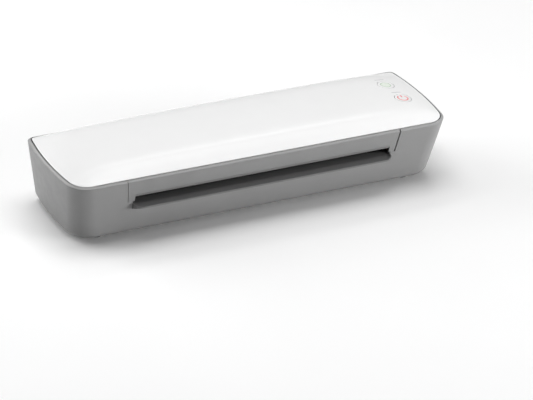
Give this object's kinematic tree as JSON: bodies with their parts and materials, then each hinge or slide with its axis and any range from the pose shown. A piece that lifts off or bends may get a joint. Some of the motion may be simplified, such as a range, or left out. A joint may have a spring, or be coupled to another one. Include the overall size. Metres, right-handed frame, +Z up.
{
  "type": "pouch laminator",
  "caption": "Low desktop machine that feeds a document pouch through heated plates and rubber rollers and out of a front slot, under a crowned glossy cover.",
  "frame": {"origin": "on the table, under the middle of the casing", "axes": "+X along the slot towards the buttons, -Y the front where the pouch comes out, +Z up"},
  "size_m": [0.3464, 0.1073, 0.0673],
  "materials": {
    "cover_white": "glossy, faint mould texture",
    "housing_grey": "satin fine-grain moulding",
    "guide_black": "satin",
    "button_white": "glossy",
    "foot_rubber": "matt",
    "zinc_sheet": "bright zinc-plated sheet",
    "ground_steel": "ground bar",
    "screw_steel": "zinc-plated",
    "heater_aluminium": "extruded, mill finish",
    "element_film": "amber heater film",
    "insulator_brown": "moulded phenolic",
    "silicone_grey": "smooth silicone",
    "gear_nylon": "moulded nylon",
    "bush_bronze": "sintered",
    "spring_wire": "drawn wire",
    "motor_can": "drawn steel can",
    "board_green": "solder mask",
    "part_yellow": "moulded case",
    "part_blue": "sleeved can",
    "part_black": "moulded case",
    "terminal_green": "moulded nylon",
    "fuse_glass": "clear tube",
    "led_lens": "diffused lens"
  },
  "bodies": {
    "chassis": {"board_fuse": "fuse_glass", "board_screws": "screw_steel", "button_board": "board_green", "button_board_screws": "screw_steel", "case_screws": "screw_steel", "chassis_screws": "screw_steel", "control_board": "board_green", "cord_gland": "part_black", "drive_motor": "motor_can", "entry_guide": "guide_black", "exit_guide": "housing_grey", "film_capacitor": "part_yellow", "front_tie_bar": "ground_steel", "front_trim": "housing_grey", "heat_shield": "zinc_sheet", "idler_clip": "spring_wire", "idler_stud": "ground_steel", "left_bush": "bush_bronze", "left_pressure_spring": "spring_wire", "left_side_plate": "zinc_sheet", "lower_heater_plate": "heater_aluminium", "lower_heating_element": "element_film", "lower_housing": "housing_grey", "motor_bracket": "zinc_sheet", "motor_screws": "screw_steel", "motor_standoffs": "ground_steel", "ready_lens": "button_white", "rear_tie_bar": "ground_steel", "relay": "part_black", "right_bush": "bush_bronze", "right_pressure_spring": "spring_wire", "right_side_plate": "zinc_sheet", "rubber_feet": "foot_rubber", "smoothing_capacitor": "part_blue", "standoff_screws": "screw_steel", "status_leds": "led_lens", "tact_switch": "part_black", "terminal_block": "terminal_green", "thermal_fuse": "zinc_sheet", "thermostat": "insulator_brown", "tie_bar_screws": "screw_steel", "top_cover": "cover_white", "upper_heater_plate": "heater_aluminium", "upper_heating_element": "element_film"},
    "lower_roller": {"lower_roller_shaft": "ground_steel", "lower_roller_sleeve": "silicone_grey", "lower_roller_gear": "gear_nylon", "lower_roller_clips": "spring_wire"},
    "upper_nip": {"left_pressure_block": "insulator_brown", "right_pressure_block": "insulator_brown"},
    "upper_roller": {"upper_roller_shaft": "ground_steel", "upper_roller_sleeve": "silicone_grey", "upper_roller_gear": "gear_nylon", "upper_roller_clips": "spring_wire"},
    "idler": {"idler_gear": "gear_nylon"},
    "motor_output": {"motor_shaft": "ground_steel", "motor_pinion": "bush_bronze"},
    "power_key": {"power_button": "button_white", "switch_plunger": "part_black"}
  },
  "joints": [
    {"name": "lower_roller_spin", "type": "hinge", "parent": "chassis", "child": "lower_roller", "pos_m": [0, -0.03, 0.0293], "axis": [1, 0, 0], "continuous": true},
    {"name": "upper_nip_lift", "type": "slide", "parent": "chassis", "child": "upper_nip", "axis": [0, 0, 1], "range_m": [0, 0.001], "stiffness_N_per_m": 4000, "springref_m": -0.002, "deforming": ["left_pressure_spring", "right_pressure_spring"]},
    {"name": "upper_roller_spin", "type": "hinge", "parent": "upper_nip", "child": "upper_roller", "pos_m": [0, -0.03, 0.0453], "axis": [1, 0, 0], "continuous": true},
    {"name": "idler_spin", "type": "hinge", "parent": "chassis", "child": "idler", "pos_m": [-0.131, -0.01525, 0.01898], "axis": [1, 0, 0], "continuous": true},
    {"name": "motor_spin", "type": "hinge", "parent": "chassis", "child": "motor_output", "pos_m": [-0.135, -0.003, 0.02926], "axis": [1, 0, 0], "continuous": true},
    {"name": "power_key_press", "type": "slide", "parent": "chassis", "child": "power_key", "axis": [0, 0, 1], "range_m": [-0.0006, 0], "stiffness_N_per_m": 900, "springref_m": 0.0003}
  ],
  "couplings": [
    {"joint": "upper_roller_spin", "follows": "lower_roller_spin", "ratio": -1},
    {"joint": "idler_spin", "follows": "lower_roller_spin", "ratio": -0.8},
    {"joint": "motor_spin", "follows": "lower_roller_spin", "ratio": 1.3333}
  ]
}
